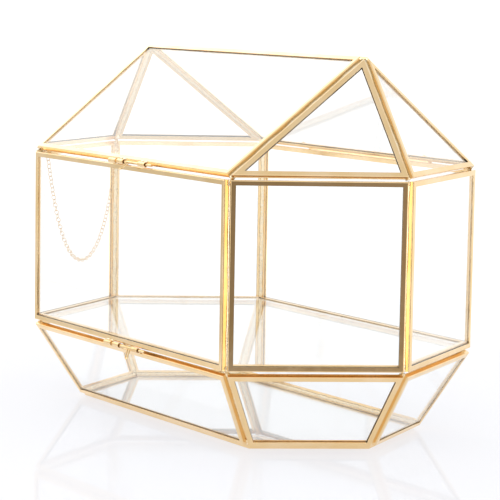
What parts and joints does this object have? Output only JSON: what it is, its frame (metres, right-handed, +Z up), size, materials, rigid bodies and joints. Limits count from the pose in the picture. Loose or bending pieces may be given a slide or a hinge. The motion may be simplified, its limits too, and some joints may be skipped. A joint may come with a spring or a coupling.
{
  "type": "wedding card box",
  "caption": "Brass-framed clear glass wedding card box: hipped lid and straight box on a tapered base, hinged at the back, closed by sliding bolts, with a chain that holds the open lid.",
  "frame": {"origin": "centre of the object's footprint box, on the plane that the underside rests on", "axes": "+X along the ridge, away from the corner that the chain hangs from; -Y the front with both latches, +Y the back with both hinges; +Z up"},
  "size_m": [0.3308, 0.194, 0.2299],
  "materials": {
    "gold_brass": "bright gold plating over soldered channel, lightly uneven",
    "gold_wire": "bright fine wire",
    "clear_glass": "clear, polished"
  },
  "bodies": {
    "base": {"base_back_channel": "gold_brass", "base_back_glass": "clear_glass", "base_bottom_channel": "gold_brass", "base_bottom_glass": "clear_glass", "base_front_channel": "gold_brass", "base_front_glass": "clear_glass", "base_hinge_rod": "gold_brass", "base_latch_far_guide": "gold_brass", "base_latch_near_guide": "gold_brass", "base_left_back_channel": "gold_brass", "base_left_back_glass": "clear_glass", "base_left_front_channel": "gold_brass", "base_left_front_glass": "clear_glass", "base_right_back_channel": "gold_brass", "base_right_back_glass": "clear_glass", "base_right_front_channel": "gold_brass", "base_right_front_glass": "clear_glass"},
    "box": {"floor_channel": "gold_brass", "floor_glass": "clear_glass", "wall_back_channel": "gold_brass", "wall_back_glass": "clear_glass", "wall_front_channel": "gold_brass", "wall_front_glass": "clear_glass", "wall_left_back_channel": "gold_brass", "wall_left_back_glass": "clear_glass", "wall_left_front_channel": "gold_brass", "wall_left_front_glass": "clear_glass", "wall_right_back_channel": "gold_brass", "wall_right_back_glass": "clear_glass", "wall_right_front_channel": "gold_brass", "wall_right_front_glass": "clear_glass", "base_hinge_tube": "gold_brass", "lid_hinge_tube": "gold_brass", "lid_latch_keeper": "gold_brass", "base_latch_keeper": "gold_brass", "chain_eye_box": "gold_wire"},
    "lid": {"lid_back_channel": "gold_brass", "lid_back_glass": "clear_glass", "lid_front_channel": "gold_brass", "lid_front_glass": "clear_glass", "lid_hinge_rod": "gold_brass", "lid_latch_far_guide": "gold_brass", "lid_latch_near_guide": "gold_brass", "lid_left_back_channel": "gold_brass", "lid_left_back_glass": "clear_glass", "lid_left_front_channel": "gold_brass", "lid_left_front_glass": "clear_glass", "lid_right_back_channel": "gold_brass", "lid_right_back_glass": "clear_glass", "lid_right_front_channel": "gold_brass", "lid_right_front_glass": "clear_glass", "chain_eye_lid": "gold_wire"},
    "lid_bolt": {"lid_latch_bolt": "gold_brass"},
    "base_bolt": {"base_latch_bolt": "gold_brass"},
    "chain_1": {"chain_run_1": "gold_wire"},
    "chain_2": {"chain_run_2": "gold_wire"},
    "chain_3": {"chain_run_3": "gold_wire"},
    "chain_4": {"chain_run_4": "gold_wire"},
    "chain_5": {"chain_run_5": "gold_wire"},
    "chain_6": {"chain_run_6": "gold_wire"}
  },
  "joints": [
    {"name": "base_hinge", "type": "hinge", "parent": "base", "child": "box", "pos_m": [0, 0.0955, 0.0518], "axis": [-1, 0, 0], "range_deg": [0, 85]},
    {"name": "lid_hinge", "type": "hinge", "parent": "box", "child": "lid", "pos_m": [0, 0.0955, 0.1599], "axis": [-1, 0, 0], "range_deg": [0, 75]},
    {"name": "lid_bolt_slide", "type": "slide", "parent": "lid", "child": "lid_bolt", "axis": [1, 0, 0], "range_m": [-0.003, 0.0055]},
    {"name": "base_bolt_slide", "type": "slide", "parent": "base", "child": "base_bolt", "axis": [1, 0, 0], "range_m": [-0.0097, 0.001]},
    {"name": "chain_joint_1", "type": "hinge", "parent": "box", "child": "chain_1", "pos_m": [-0.1599, 0.002, 0.1563], "axis": [-0.0278, -0.96, 0.2788], "range_deg": [0, 157]},
    {"name": "chain_joint_2", "type": "hinge", "parent": "chain_1", "child": "chain_2", "pos_m": [-0.15167, -0.01214, 0.10844], "axis": [-0.8641, -0.5032, 0], "range_deg": [-23, 0]},
    {"name": "chain_joint_3", "type": "hinge", "parent": "chain_2", "child": "chain_3", "pos_m": [-0.14307, -0.02689, 0.08812], "axis": [-0.8641, -0.5032, 0], "range_deg": [-36, 0]},
    {"name": "chain_joint_4", "type": "hinge", "parent": "chain_3", "child": "chain_4", "pos_m": [-0.13635, -0.03843, 0.0843], "axis": [-0.8641, -0.5032, 0], "range_deg": [-38, 0]},
    {"name": "chain_joint_5", "type": "hinge", "parent": "chain_4", "child": "chain_5", "pos_m": [-0.12948, -0.05024, 0.08933], "axis": [-0.8641, -0.5032, 0], "range_deg": [-34, 0]},
    {"name": "chain_joint_6", "type": "hinge", "parent": "lid", "child": "chain_6", "pos_m": [-0.11315, -0.07828, 0.1598], "axis": [0.9662, 0.2419, -0.0894], "range_deg": [0, 45]}
  ],
  "couplings": [
    {"joint": "chain_joint_1", "follows": "lid_hinge", "ratio": 2.0789},
    {"joint": "chain_joint_2", "follows": "lid_hinge", "ratio": -0.28223},
    {"joint": "chain_joint_3", "follows": "lid_hinge", "ratio": -0.45354},
    {"joint": "chain_joint_4", "follows": "lid_hinge", "ratio": -0.48218},
    {"joint": "chain_joint_5", "follows": "lid_hinge", "ratio": -0.4352},
    {"joint": "chain_joint_6", "follows": "lid_hinge", "ratio": 0.57413}
  ]
}
